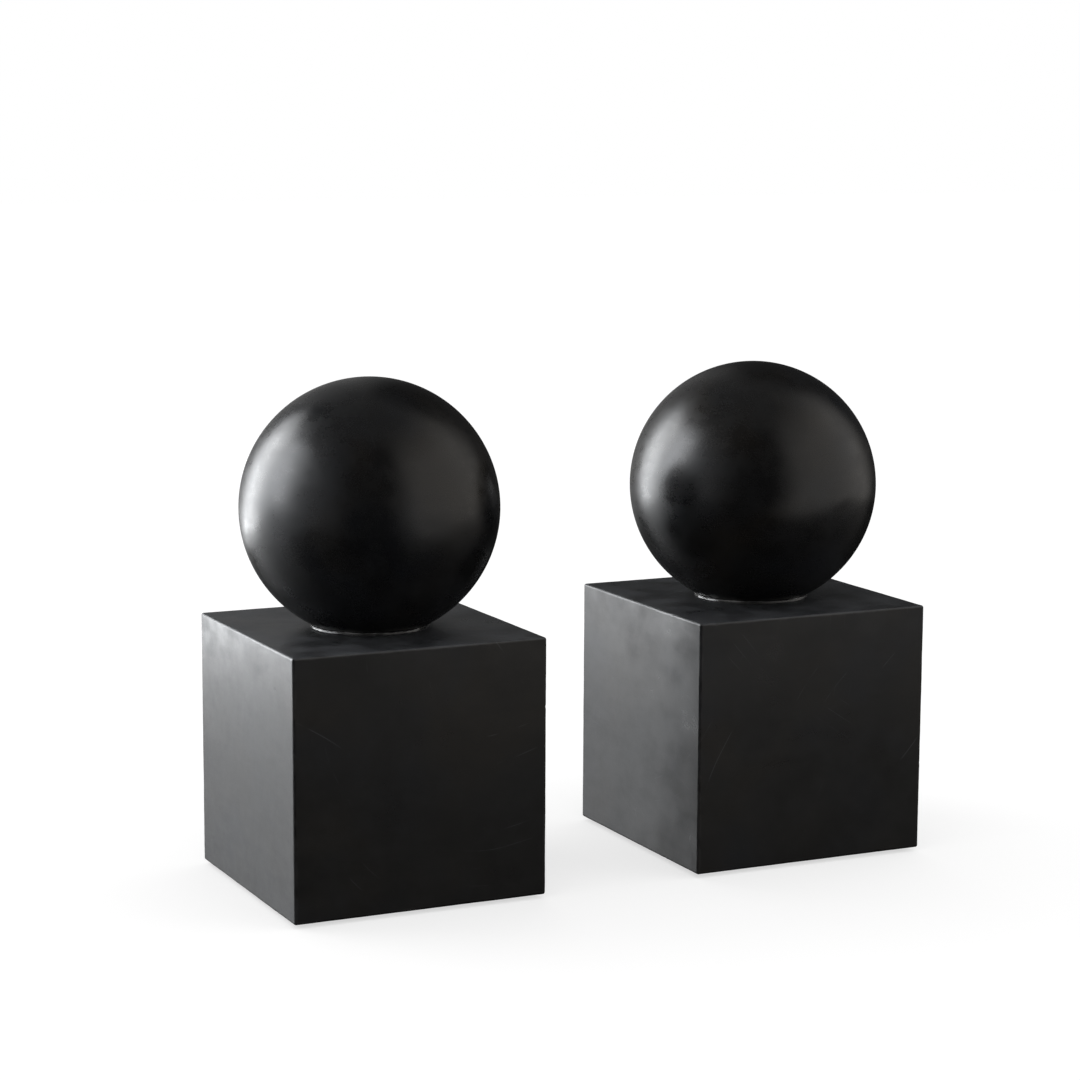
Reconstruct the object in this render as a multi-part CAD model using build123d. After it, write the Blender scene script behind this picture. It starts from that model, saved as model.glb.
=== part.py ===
from build123d import *

import math
import os

# A pair of book ends. Each one is a stone ball that stands on a square stone block. The ball has a flat
# ground on its underside, and a length of threaded rod set in resin keys it to the block. A thin bed of
# resin bonds the flat to the block's top and stands proud of it as a small bead. Four felt pads are stuck
# under each block.
#
# Millimetres. The origin is on the shelf, midway between the two book ends. +X runs from the left book
# end to the right one, +Y away from the reader and +Z up.

# Driving dimensions
BLOCK_SIDE = 93.0
BLOCK_HEIGHT = 91.0
BLOCK_ARRIS_RADIUS = 0.8
BALL_DIAMETER = 91.2
SEAT_DIAMETER = 39.0
BOOK_GAP = 60.0

ROD_DIAMETER = 8.0  # M8
ROD_PITCH = 1.25
ROD_THREADS = 40
SOCKET_DIAMETER = 10.0
SOCKET_SPARE_DEPTH = 3.0
DRILL_POINT_ANGLE = 118.0

RESIN_BED_THICKNESS = 0.4
RESIN_BEAD_WIDTH = 1.4
RESIN_BEAD_HEIGHT = 0.9

PAD_DIAMETER = 20.0
PAD_FELT_THICKNESS = 1.3
PAD_ADHESIVE_THICKNESS = 0.2
PAD_INSET = 16.0

# Worked out from them
PAD_THICKNESS = PAD_FELT_THICKNESS + PAD_ADHESIVE_THICKNESS
BLOCK_BOTTOM_Z = PAD_THICKNESS
BLOCK_TOP_Z = BLOCK_BOTTOM_Z + BLOCK_HEIGHT
BLOCK_CENTRE_X = (BOOK_GAP + BLOCK_SIDE) / 2
PAD_CENTRE_OFFSET = BLOCK_SIDE / 2 - PAD_INSET

BALL_RADIUS = BALL_DIAMETER / 2
SEAT_RADIUS = SEAT_DIAMETER / 2
SEAT_Z = BLOCK_TOP_Z + RESIN_BED_THICKNESS
BALL_CENTRE_Z = SEAT_Z + math.sqrt(BALL_RADIUS**2 - SEAT_RADIUS**2)

ROD_LENGTH = ROD_THREADS * ROD_PITCH
ROD_CENTRE_Z = (BLOCK_TOP_Z + SEAT_Z) / 2
ROD_CREST_RADIUS = ROD_DIAMETER / 2
# ISO metric thread: the depth is 5/8 of a 60 degree triangle's height.
ROD_ROOT_RADIUS = ROD_CREST_RADIUS - 5 / 8 * ROD_PITCH * math.sin(math.radians(60))
SOCKET_RADIUS = SOCKET_DIAMETER / 2
SOCKET_DEPTH = ROD_LENGTH / 2 + SOCKET_SPARE_DEPTH
SOCKET_POINT_DEPTH = SOCKET_RADIUS / math.tan(math.radians(DRILL_POINT_ANGLE / 2))

SIDES = {"left": -1, "right": 1}
DEPTHS = {"front": -1, "back": 1}


def upright_cylinder(radius, bottom_z, height):
    """A cylinder on the Z axis, standing on bottom_z."""
    base = Align.CENTER, Align.CENTER, Align.MIN
    return Pos(0, 0, bottom_z) * Cylinder(radius, height, align=base)


def drilled_socket(mouth_z, direction):
    """The space a drill leaves on the Z axis, from its mouth upwards (direction 1) or downwards (-1)."""
    shoulder_z = mouth_z + direction * SOCKET_DEPTH
    point_z = shoulder_z + direction * SOCKET_POINT_DEPTH
    outline = Polyline(
        (0, mouth_z),
        (SOCKET_RADIUS, mouth_z),
        (SOCKET_RADIUS, shoulder_z),
        (0, point_z),
        close=True,
    )
    return revolve(Plane.XZ * make_face(outline), Axis.Z)


def rod_envelope():
    """The rod's crest cylinder, which is the space it takes up in the resin."""
    return upright_cylinder(ROD_CREST_RADIUS, ROD_CENTRE_Z - ROD_LENGTH / 2, ROD_LENGTH)


def block():
    """The square block, with its edges eased and a socket drilled in the middle of its top."""
    base = Align.CENTER, Align.CENTER, Align.MIN
    body = Pos(0, 0, BLOCK_BOTTOM_Z) * Box(BLOCK_SIDE, BLOCK_SIDE, BLOCK_HEIGHT, align=base)
    body = fillet(body.edges(), BLOCK_ARRIS_RADIUS)
    return body - drilled_socket(BLOCK_TOP_Z, -1)


def ground_ball():
    """The ball with a flat ground on its underside, before it is drilled."""
    whole = Pos(0, 0, BALL_CENTRE_Z) * Sphere(BALL_RADIUS)
    return split(whole, bisect_by=Plane.XY.offset(SEAT_Z), keep=Keep.TOP)


def ball():
    """The ball, with a socket drilled up from the middle of its flat."""
    return ground_ball() - drilled_socket(SEAT_Z, 1)


def threaded_rod():
    """The length of M8 rod, half in the ball and half in the block, with its thread as plain rings."""
    bottom_z = ROD_CENTRE_Z - ROD_LENGTH / 2
    outline = [(0, bottom_z), (ROD_ROOT_RADIUS, bottom_z)]
    for turn in range(ROD_THREADS):
        thread_z = bottom_z + turn * ROD_PITCH
        outline += [
            (ROD_ROOT_RADIUS, thread_z + ROD_PITCH * 2 / 16),
            (ROD_CREST_RADIUS, thread_z + ROD_PITCH * 7 / 16),
            (ROD_CREST_RADIUS, thread_z + ROD_PITCH * 9 / 16),
            (ROD_ROOT_RADIUS, thread_z + ROD_PITCH * 14 / 16),
        ]
    top_z = bottom_z + ROD_LENGTH
    outline += [(ROD_ROOT_RADIUS, top_z), (0, top_z)]
    return revolve(Plane.XZ * make_face(Polyline(*outline, close=True)), Axis.Z)


def ball_resin():
    """Resin that fills the ball's socket round the rod's upper half."""
    return drilled_socket(SEAT_Z, 1) - rod_envelope()


def seat_resin():
    """Resin that fills the block's socket, beds the ball's flat and shows as a bead round it."""
    bed = upright_cylinder(SEAT_RADIUS + RESIN_BEAD_WIDTH, BLOCK_TOP_Z, RESIN_BEAD_HEIGHT)
    return bed - ground_ball() + drilled_socket(BLOCK_TOP_Z, -1) - rod_envelope()


def foot_place(sideways, depthways):
    """Where one foot is under its block: -1 or 1 along X, and along Y."""
    return Pos(sideways * PAD_CENTRE_OFFSET, depthways * PAD_CENTRE_OFFSET, 0)


def felt_pad():
    """One round felt pad, standing on the shelf at the origin."""
    return upright_cylinder(PAD_DIAMETER / 2, 0, PAD_FELT_THICKNESS)


def pad_adhesive():
    """The four films of adhesive that hold one block's pads."""
    film = upright_cylinder(PAD_DIAMETER / 2, PAD_FELT_THICKNESS, PAD_ADHESIVE_THICKNESS)
    return Compound(children=[foot_place(x, y) * film for x in (-1, 1) for y in (-1, 1)])


def book_end(side):
    """The nodes of one book end, by name, in place."""
    towards = SIDES[side]
    pieces = {
        "block": block(),
        "ball": ball(),
        "threaded_rod": threaded_rod(),
        "ball_resin": ball_resin(),
        "seat_resin": seat_resin(),
        "pad_adhesive": pad_adhesive(),
    }
    for depth, depthways in DEPTHS.items():
        pieces[f"{depth}_inner_pad"] = foot_place(-towards, depthways) * felt_pad()
        pieces[f"{depth}_outer_pad"] = foot_place(towards, depthways) * felt_pad()
    place = Pos(towards * BLOCK_CENTRE_X, 0, 0)
    return {f"{side}_{name}": place * piece for name, piece in pieces.items()}


os.makedirs("parts", exist_ok=True)
for side in SIDES:
    for node, piece in book_end(side).items():
        export_step(piece, f"parts/{node}.step")
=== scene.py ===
"""A pair of book ends: a black stone ball pinned and bonded on a square black stone block, twice.

Metres, in the frame's own axes: +X from the left book end to the right one, +Y away from the reader, +Z up.
"""

from __future__ import annotations

import logging
import math
from abc import ABC, abstractmethod
from dataclasses import dataclass
from enum import Enum
from functools import lru_cache, reduce
from typing import Callable

import bmesh
import bpy
from bmesh.types import BMesh, BMVert
from bpy.types import NodeSocket, Object
from mathutils import Matrix, Vector, noise


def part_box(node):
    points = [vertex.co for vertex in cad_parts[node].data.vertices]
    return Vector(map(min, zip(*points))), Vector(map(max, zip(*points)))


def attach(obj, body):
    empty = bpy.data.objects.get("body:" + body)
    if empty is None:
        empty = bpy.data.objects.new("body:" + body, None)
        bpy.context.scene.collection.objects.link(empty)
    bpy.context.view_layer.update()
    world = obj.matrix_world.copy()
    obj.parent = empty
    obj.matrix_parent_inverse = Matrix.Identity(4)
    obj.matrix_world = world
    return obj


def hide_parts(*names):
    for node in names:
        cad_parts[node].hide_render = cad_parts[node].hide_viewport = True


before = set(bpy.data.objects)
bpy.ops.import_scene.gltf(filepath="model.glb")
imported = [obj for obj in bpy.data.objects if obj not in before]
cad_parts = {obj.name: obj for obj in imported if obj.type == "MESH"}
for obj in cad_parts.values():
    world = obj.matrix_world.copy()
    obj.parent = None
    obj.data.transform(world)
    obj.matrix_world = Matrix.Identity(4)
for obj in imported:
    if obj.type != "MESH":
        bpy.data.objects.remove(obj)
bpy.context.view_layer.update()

LOG = logging.getLogger("book_ends")
MM = 0.001

Colour = tuple[float, float, float]
Outline = list[tuple[float, float]]


class Side(Enum):
    """Which book end of the pair."""

    LEFT = "left"
    RIGHT = "right"

    @property
    def body(self) -> str:
        """The CAD body that this book end's pieces ride on."""
        return f"{self.value}_book_end"

    @property
    def seed(self) -> int:
        """A number that makes this book end's handwork differ from the other's."""
        return {Side.LEFT: 3, Side.RIGHT: 11}[self]

    @property
    def veining_turn(self) -> float:
        """How far the stone's own markings are turned, so that the two book ends don't look alike."""
        return {Side.LEFT: 0.0, Side.RIGHT: math.radians(130)}[self]

    def node(self, name: str) -> str:
        """The CAD node of that name on this book end."""
        return f"{self.value}_{name}"


class Foot(Enum):
    """Where a felt foot is under its block."""

    FRONT_INNER = "front_inner"
    FRONT_OUTER = "front_outer"
    BACK_INNER = "back_inner"
    BACK_OUTER = "back_outer"


# ---------------------------------------------------------------- shader nodes


class NodeSheet:
    """Adds nodes to a shader or geometry node tree and joins them up in few words."""

    def __init__(self, tree: bpy.types.NodeTree) -> None:
        """Args:
            tree: the node tree to add to.
        """
        self.tree = tree

    def add(self, kind: str, settings: dict | None = None, **inputs: object) -> bpy.types.Node:
        """Adds a node.

        Args:
            kind: the node's type, such as "ShaderNodeMath".
            settings: the node's own settings, by name.
            **inputs: what goes in each socket, by the socket's name with "_" for a space, or by "i" and
                its number. Each is a socket to link from or a value.

        Returns:
            The new node.
        """
        node = self.tree.nodes.new(kind)
        for name, value in (settings or {}).items():
            setattr(node, name, value)
        for name, value in inputs.items():
            if name[0] == "i" and name[1:].isdigit():
                socket = node.inputs[int(name[1:])]
            else:
                socket = node.inputs[name.replace("_", " ")]
            if isinstance(value, NodeSocket):
                self.tree.links.new(value, socket)
            else:
                socket.default_value = value
        return node

    def math(self, operation: str, *values: object, clamp: bool = False) -> NodeSocket:
        """A Math node's result.

        Args:
            operation: the Math node's operation.
            *values: its inputs, each a socket or a number.
            clamp: whether the result is kept between 0 and 1.

        Returns:
            The result's socket.
        """
        inputs = {f"i{index}": value for index, value in enumerate(values)}
        return self.add("ShaderNodeMath", {"operation": operation, "use_clamp": clamp}, **inputs).outputs[0]

    def vector(self, operation: str, *values: object) -> NodeSocket:
        """A Vector Math node's vector result.

        Args:
            operation: the node's operation.
            *values: its inputs, each a socket or a vector.

        Returns:
            The result's socket.
        """
        inputs = {f"i{index}": value for index, value in enumerate(values)}
        return self.add("ShaderNodeVectorMath", {"operation": operation}, **inputs).outputs[0]

    def mapped(self, place: object, **settings: object) -> NodeSocket:
        """Coordinates moved, turned or scaled by a Mapping node, from its Location, Rotation and Scale."""
        return self.add("ShaderNodeMapping", None, Vector=place, **settings).outputs[0]

    def scaled(self, value: object, amount: object) -> NodeSocket:
        """A vector or colour times a number."""
        return self.add("ShaderNodeVectorMath", {"operation": "SCALE"}, i0=value, Scale=amount).outputs[0]

    def parts(self, value: object) -> tuple[NodeSocket, ...]:
        """A vector's x, y and z."""
        return tuple(self.add("ShaderNodeSeparateXYZ", None, i0=value).outputs)

    def joined(self, **parts: object) -> NodeSocket:
        """A vector from its X, Y and Z."""
        return self.add("ShaderNodeCombineXYZ", None, **parts).outputs[0]

    def object_place(self) -> NodeSocket:
        """Where a point is in its piece's own axes, in metres."""
        return self.add("ShaderNodeTexCoord").outputs["Object"]

    def principled(self, colour: object, roughness: object, **more: object) -> bpy.types.Node:
        """A Principled shader, from its colour, its roughness and its other inputs."""
        return self.add("ShaderNodeBsdfPrincipled", None, Base_Color=colour, Roughness=roughness, **more)

    def bump(self, height: object, strength: float, distance: float, **more: object) -> NodeSocket:
        """The normal that a Bump node gives.

        Args:
            height: the socket of the relief's height.
            strength: how much of the relief shows.
            distance: how deep the relief is.
            **more: the node's other inputs.

        Returns:
            The normal's socket.
        """
        node = self.add("ShaderNodeBump", None, Strength=strength, Distance=distance, Height=height, **more)
        return node.outputs[0]

    def ramp(self, value: object, low: float, high: float, to_low: float = 0.0, to_high: float = 1.0,
             smooth: bool = True) -> NodeSocket:
        """A value moved from one range to another and held at its ends.

        Args:
            value: the socket to read.
            low: where the ramp starts.
            high: where the ramp ends.
            to_low: what it gives at the start.
            to_high: what it gives at the end.
            smooth: whether it eases in and out.

        Returns:
            The ramped value's socket.
        """
        settings = {"interpolation_type": "SMOOTHSTEP" if smooth else "LINEAR"}
        node = self.add("ShaderNodeMapRange", settings, Value=value, From_Min=low, From_Max=high,
                        To_Min=to_low, To_Max=to_high)
        return node.outputs[0]

    def noise(self, place: object, scale: float, detail: float = 4.0, roughness: float = 0.55,
              distortion: float = 0.0) -> NodeSocket:
        """A Noise texture's value.

        Args:
            place: the socket of the coordinates to read.
            scale: how many features there are to the metre.
            detail: how many finer layers are added.
            roughness: how strong the finer layers are.
            distortion: how much the pattern is swirled.

        Returns:
            The value's socket.
        """
        node = self.add("ShaderNodeTexNoise", None, Vector=place, Scale=scale, Detail=detail,
                        Roughness=roughness, Distortion=distortion)
        return node.outputs["Fac"]

    def blend(self, amount: object, first: object, second: object) -> NodeSocket:
        """Two colours mixed.

        Args:
            amount: 0 for the first colour, 1 for the second.
            first: a colour socket or value.
            second: a colour socket or value.

        Returns:
            The mixed colour's socket.
        """
        node = self.add("ShaderNodeMix", {"data_type": "RGBA"})
        for socket, value in ((node.inputs[0], amount), (node.inputs[6], first), (node.inputs[7], second)):
            if isinstance(value, NodeSocket):
                self.tree.links.new(value, socket)
            else:
                socket.default_value = value
        return node.outputs[2]


def blank_sheet(owner: bpy.types.Material | bpy.types.World) -> NodeSheet:
    """The emptied node tree of a material or world, ready to be filled."""
    owner.use_nodes = True
    owner.node_tree.nodes.clear()
    return NodeSheet(owner.node_tree)


def rgba(colour: Colour) -> tuple[float, float, float, float]:
    """The colour with an alpha of 1."""
    return (*colour, 1.0)


class EffectGroup(ABC):
    """A shader node group that several finishes share."""

    name: str
    inputs: dict[str, tuple[str, object]]
    outputs: dict[str, str]

    @classmethod
    @lru_cache(maxsize=None)
    def tree(cls) -> bpy.types.NodeTree:
        """The group's node tree, built the first time it is asked for."""
        tree = bpy.data.node_groups.new(cls.name, "ShaderNodeTree")
        for label, (kind, value) in cls.inputs.items():
            socket = tree.interface.new_socket(label, in_out="INPUT", socket_type=kind)
            if value is not None:
                socket.default_value = value
        for label, kind in cls.outputs.items():
            tree.interface.new_socket(label, in_out="OUTPUT", socket_type=kind)
        sheet = NodeSheet(tree)
        given = sheet.add("NodeGroupInput")
        results = cls.wire(sheet, given.outputs)
        ends = {label.replace(" ", "_"): results[label] for label in cls.outputs}
        sheet.add("NodeGroupOutput", None, **ends)
        return tree

    @classmethod
    @abstractmethod
    def wire(cls, sheet: NodeSheet, given: object) -> dict[str, NodeSocket]:
        """Adds the group's nodes.

        Args:
            sheet: the group's own sheet.
            given: the group's input sockets, by name.

        Returns:
            The socket for each output, by name.
        """

    @classmethod
    def place(cls, sheet: NodeSheet, **inputs: object) -> object:
        """Puts the group in a material.

        Args:
            sheet: the material's sheet.
            **inputs: what goes in each input, as for NodeSheet.add.

        Returns:
            The group's output sockets, by name.
        """
        return sheet.add("ShaderNodeGroup", {"node_tree": cls.tree()}, **inputs).outputs


class Clouds(EffectGroup):
    """Soft mottling, from broad clouds down to a fine grain."""

    name = "clouds"
    inputs = {
        "Place": ("NodeSocketVector", None),
        "Cloud Scale": ("NodeSocketFloat", 30.0),
        "Grain Scale": ("NodeSocketFloat", 1500.0),
    }
    outputs = {"Clouds": "NodeSocketFloat", "Drift": "NodeSocketFloat", "Grain": "NodeSocketFloat"}

    # The drift is read this far from the clouds, so that the two don't match.
    DRIFT_SHIFT = (0.37, 0.11, 0.73)

    @classmethod
    def wire(cls, sheet: NodeSheet, given: object) -> dict[str, NodeSocket]:
        """Adds the group's nodes: three sizes of noise on one set of coordinates."""
        place = given["Place"]
        broad = sheet.noise(place, given["Cloud Scale"], detail=5.0, distortion=0.6)
        drift = sheet.noise(sheet.vector("ADD", place, cls.DRIFT_SHIFT), given["Cloud Scale"], detail=2.0)
        grain = sheet.noise(place, given["Grain Scale"], detail=3.0, roughness=0.7)
        return {
            "Clouds": sheet.ramp(broad, 0.32, 0.68),
            "Drift": sheet.ramp(drift, 0.35, 0.65),
            "Grain": grain,
        }


class Scratches(EffectGroup):
    """Fine chalky scratches in sweeps: short arcs about a few far centres, which show only in patches."""

    name = "scratches"
    inputs = {
        "Place": ("NodeSocketVector", None),
        "Amount": ("NodeSocketFloat", 0.5),
    }
    outputs = {"Mask": "NodeSocketFloat"}

    # The centre and the spacing of each sweep.
    SWEEPS = (
        ((75 * MM, -95 * MM, 50 * MM), 6.1 * MM),
        ((-105 * MM, 60 * MM, -70 * MM), 8.3 * MM),
        ((20 * MM, 110 * MM, 120 * MM), 4.7 * MM),
    )
    # How far the arcs wander, and the features to the metre of their wander and of the patches.
    WANDER = 5 * MM
    WANDER_SCALE = 30.0
    PATCH_SCALE = 36.0
    # How much of the spacing a line takes up, each side of its middle.
    LINE_SHARE = 0.025

    @classmethod
    def wire(cls, sheet: NodeSheet, given: object) -> dict[str, NodeSocket]:
        """Adds the group's nodes: evenly spaced arcs, bent by a slow noise and cut short by another."""
        place = given["Place"]
        bend = sheet.math("MULTIPLY", sheet.noise(place, cls.WANDER_SCALE, detail=0.0), cls.WANDER)
        lines = []
        for centre, spacing in cls.SWEEPS:
            gap = sheet.add("ShaderNodeVectorMath", {"operation": "DISTANCE"}, i0=place, i1=centre)
            away = gap.outputs["Value"]
            turns = sheet.math("DIVIDE", sheet.math("ADD", away, bend), spacing)
            line = sheet.ramp(sheet.math("PINGPONG", turns, 0.5), 0.0, cls.LINE_SHARE, 1.0, 0.0)
            moved = sheet.vector("ADD", place, centre)
            patch = sheet.noise(moved, cls.PATCH_SCALE, detail=3.0)
            lines.append(sheet.math("MULTIPLY", line, sheet.ramp(patch, 0.60, 0.70)))
        total = reduce(lambda first, second: sheet.math("MAXIMUM", first, second), lines)
        return {"Mask": sheet.math("MULTIPLY", total, given["Amount"])}


class WornArris(EffectGroup):
    """Wear along the arrises of a square block, from how near a point is to one."""

    name = "worn_arris"
    inputs = {
        "Place": ("NodeSocketVector", None),
        "Half Size": ("NodeSocketVector", None),
        "Width": ("NodeSocketFloat", 0.0012),
    }
    outputs = {"Mask": "NodeSocketFloat"}

    # Features to the metre, and the least and greatest share of the width.
    UNEVEN_SCALE = 160.0
    WIDTH_SHARES = (0.25, 1.5)

    @classmethod
    def wire(cls, sheet: NodeSheet, given: object) -> dict[str, NodeSocket]:
        """Adds the group's nodes: the middle one of the distances to the block's faces, roughened."""
        gap = sheet.vector("SUBTRACT", given["Half Size"], sheet.vector("ABSOLUTE", given["Place"]))
        x, y, z = sheet.parts(gap)
        lesser = sheet.math("MINIMUM", x, y)
        greater = sheet.math("MAXIMUM", x, y)
        middle = sheet.math("MAXIMUM", lesser, sheet.math("MINIMUM", greater, z))
        uneven = sheet.noise(given["Place"], cls.UNEVEN_SCALE, detail=5.0, roughness=0.65)
        width = sheet.math("MULTIPLY", given["Width"], sheet.ramp(uneven, 0.3, 0.75, *cls.WIDTH_SHARES))
        nearness = sheet.math("SUBTRACT", 1.0, sheet.math("DIVIDE", middle, width), clamp=True)
        return {"Mask": nearness}


# ---------------------------------------------------------------- finishes


class Finish(ABC):
    """A surface finish: it makes one Blender material, once."""

    name: str
    slot: str

    def material(self) -> bpy.types.Material:
        """The finish's material, built the first time it is asked for."""
        known = bpy.data.materials.get(self.name)
        if known:
            return known
        material = bpy.data.materials.new(self.name)
        sheet = blank_sheet(material)
        shader = self.wire(sheet)
        sheet.add("ShaderNodeOutputMaterial", None, Surface=shader.outputs[0])
        return material

    @abstractmethod
    def wire(self, sheet: NodeSheet) -> bpy.types.Node:
        """Adds the finish's nodes.

        Args:
            sheet: the material's sheet.

        Returns:
            The shader node.
        """


@dataclass(frozen=True)
class HonedStone(Finish):
    """Black stone, honed and waxed: near-black mottling, chalky scratches and a satin surface."""

    name: str
    centre: Vector
    half_size: Vector
    turn: float
    slot: str = "stone"
    dark: Colour = (0.0030, 0.0030, 0.0032)
    warm: Colour = (0.0072, 0.0058, 0.0044)
    cool: Colour = (0.0040, 0.0047, 0.0066)
    chalk: Colour = (0.080, 0.084, 0.092)
    worn: Colour = (0.11, 0.108, 0.105)
    smooth: float = 0.33
    rough: float = 0.43
    specular: float = 0.36
    scratching: float = 0.12
    wear: float = 0.0
    wear_width: float = 1.2 * MM
    # How much pale chalk colour lies on the top face, and how far down from the top it reaches: partly
    # settled dust, partly painted sheen for the light that the top face catches.
    top_dust_and_sheen: float = 0.0
    top_dust_and_sheen_depth: float = 0.8 * MM
    bloom: float = 0.02
    waviness: float = 0.12 * MM

    # Features to the metre of each pattern, and how far the lapping marks are drawn out sideways.
    CLOUD_SCALE = 24.0
    GRAIN_SCALE = 1800.0
    SMEAR_SCALE = 14.0
    MOTTLE_SCALE = 95.0
    LAPPING_SCALE = 190.0
    SWELL_SCALE = 46.0
    LAPPING_STRETCH = (0.22, 0.22, 1.0)
    # How much of the fine relief shows, and how deep it is.
    RELIEF_SHARE = 0.12
    RELIEF_DEPTH = 0.05 * MM
    # How much each pattern changes the roughness.
    MOTTLE_SHEEN = 0.05
    LAPPING_SHEEN = 0.03
    GRAIN_SHEEN = 0.02
    SCRATCH_SHEEN = 0.25

    def wire(self, sheet: NodeSheet) -> bpy.types.Node:
        """Adds the finish's nodes: mottling, lapping marks, scratches and wear over a dark ground."""
        spot = sheet.object_place()
        place = sheet.mapped(spot, Location=tuple(-self.centre))
        turned = sheet.mapped(place, Rotation=(0.0, 0.0, self.turn))
        flattened = sheet.mapped(turned, Scale=self.LAPPING_STRETCH)
        clouds = Clouds.place(sheet, Place=turned, Cloud_Scale=self.CLOUD_SCALE,
                              Grain_Scale=self.GRAIN_SCALE)
        scratches = Scratches.place(sheet, Place=turned, Amount=self.scratching)
        worn = WornArris.place(sheet, Place=place, Half_Size=tuple(self.half_size), Width=self.wear_width)
        smear = sheet.noise(turned, self.SMEAR_SCALE, detail=3.0, distortion=1.2)
        mottle = sheet.noise(turned, self.MOTTLE_SCALE, detail=6.0, roughness=0.62)
        lapping = sheet.noise(flattened, self.LAPPING_SCALE, detail=5.0, roughness=0.6)
        swell = sheet.noise(turned, self.SWELL_SCALE, detail=2.0, roughness=0.45)

        tint = sheet.blend(clouds["Drift"], rgba(self.warm), rgba(self.cool))
        ground = sheet.blend(clouds["Clouds"], rgba(self.dark), tint)
        bloom = sheet.math("MULTIPLY", sheet.ramp(mottle, 0.42, 0.75), self.bloom)
        ground = sheet.blend(bloom, ground, rgba(self.chalk))
        speck = sheet.ramp(clouds["Grain"], 0.62, 0.80, 0.0, 0.10)
        ground = sheet.blend(speck, ground, rgba(self.chalk))
        ground = sheet.blend(scratches["Mask"], ground, rgba(self.chalk))
        # The top face is paled with chalk colour in patches: partly settled dust, partly painted sheen for
        # the light on it.
        on_top = sheet.ramp(sheet.parts(place)[2], self.half_size.z - self.top_dust_and_sheen_depth, self.half_size.z)
        dust_and_sheen = sheet.ramp(mottle, 0.3, 0.7, 0.6 * self.top_dust_and_sheen, 1.4 * self.top_dust_and_sheen)
        ground = sheet.blend(sheet.math("MULTIPLY", on_top, dust_and_sheen), ground, rgba(self.chalk))
        wear = sheet.math("MULTIPLY", worn["Mask"], self.wear)
        colour = sheet.blend(wear, ground, rgba(self.worn))

        roughness = sheet.ramp(smear, 0.35, 0.68, self.smooth, self.rough)
        patterns = (
            (mottle, self.MOTTLE_SHEEN),
            (lapping, self.LAPPING_SHEEN),
            (clouds["Grain"], self.GRAIN_SHEEN),
        )
        for pattern, change in patterns:
            roughness = sheet.math("ADD", roughness, sheet.ramp(pattern, 0.3, 0.7, -change, change))
        dulled = sheet.math("MULTIPLY", scratches["Mask"], self.SCRATCH_SHEEN)
        roughness = sheet.math("ADD", roughness, dulled)

        waves = sheet.bump(swell, 1.0, self.waviness)
        fine = clouds["Grain"]
        for pattern in (lapping, mottle):
            fine = sheet.math("ADD", fine, sheet.math("MULTIPLY", pattern, 2.0))
        fine = sheet.math("SUBTRACT", fine, scratches["Mask"])
        normal = sheet.bump(fine, self.RELIEF_SHARE, self.RELIEF_DEPTH, Normal=waves)
        return sheet.principled(colour, roughness, Specular_IOR_Level=self.specular, Normal=normal)


@dataclass(frozen=True)
class CastResin(Finish):
    """Dark epoxy resin with fine bubbles and a little stone dust in it."""

    name: str = "cast_resin"
    slot: str = "resin"
    body: Colour = (0.012, 0.012, 0.012)
    # The pale colour mixed in, and how much of it: stone dust, and on the bead also a painted highlight for
    # the glint round the seat.
    dusty_glint: Colour = (0.36, 0.36, 0.35)
    dust_and_glint: float = 0.10
    bubble_scale: float = 1400.0

    def wire(self, sheet: NodeSheet) -> bpy.types.Node:
        """Adds the finish's nodes: pale dust in clouds, which on the bead is also a painted highlight, and
        bubbles that break the gloss.
        """
        place = sheet.object_place()
        clouds = Clouds.place(sheet, Place=place, Cloud_Scale=120.0, Grain_Scale=2500.0)
        cells = sheet.add("ShaderNodeTexVoronoi", None, Vector=place, Scale=self.bubble_scale)
        bubbles = sheet.ramp(cells.outputs["Distance"], 0.12, 0.30, 1.0, 0.0)
        dust_and_glint = sheet.ramp(clouds["Clouds"], 0.15, 0.85, 0.2 * self.dust_and_glint, self.dust_and_glint)
        colour = sheet.blend(dust_and_glint, rgba(self.body), rgba(self.dusty_glint))
        roughness = sheet.ramp(clouds["Drift"], 0.0, 1.0, 0.12, 0.34)
        height = sheet.math("SUBTRACT", sheet.math("MULTIPLY", clouds["Grain"], 0.4), bubbles)
        normal = sheet.bump(height, 0.3, 0.08 * MM)
        return sheet.principled(colour, roughness, Normal=normal)


@dataclass(frozen=True)
class ZincedSteel(Finish):
    """Zinc-plated steel rod with a rolled thread: plating brighter and duller in clouds, and rolling marks
    round the rod.
    """

    name: str = "zinced_steel"
    slot: str = "steel"
    bright: Colour = (0.62, 0.62, 0.60)
    dull: Colour = (0.36, 0.37, 0.38)
    rolling_scale: float = 6000.0

    def wire(self, sheet: NodeSheet) -> bpy.types.Node:
        """Adds the finish's nodes: plating in clouds, with rolling marks round the rod."""
        place = sheet.object_place()
        clouds = Clouds.place(sheet, Place=place, Cloud_Scale=260.0, Grain_Scale=4000.0)
        rolling = sheet.noise(sheet.mapped(place, Scale=(0.15, 0.15, 1.0)), self.rolling_scale, detail=2.0)
        colour = sheet.blend(clouds["Clouds"], rgba(self.bright), rgba(self.dull))
        roughness = sheet.ramp(rolling, 0.3, 0.7, 0.24, 0.42)
        height = sheet.math("ADD", rolling, sheet.math("MULTIPLY", clouds["Grain"], 0.5))
        normal = sheet.bump(height, 0.25, 0.02 * MM)
        return sheet.principled(colour, roughness, Metallic=1.0, Normal=normal)


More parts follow.
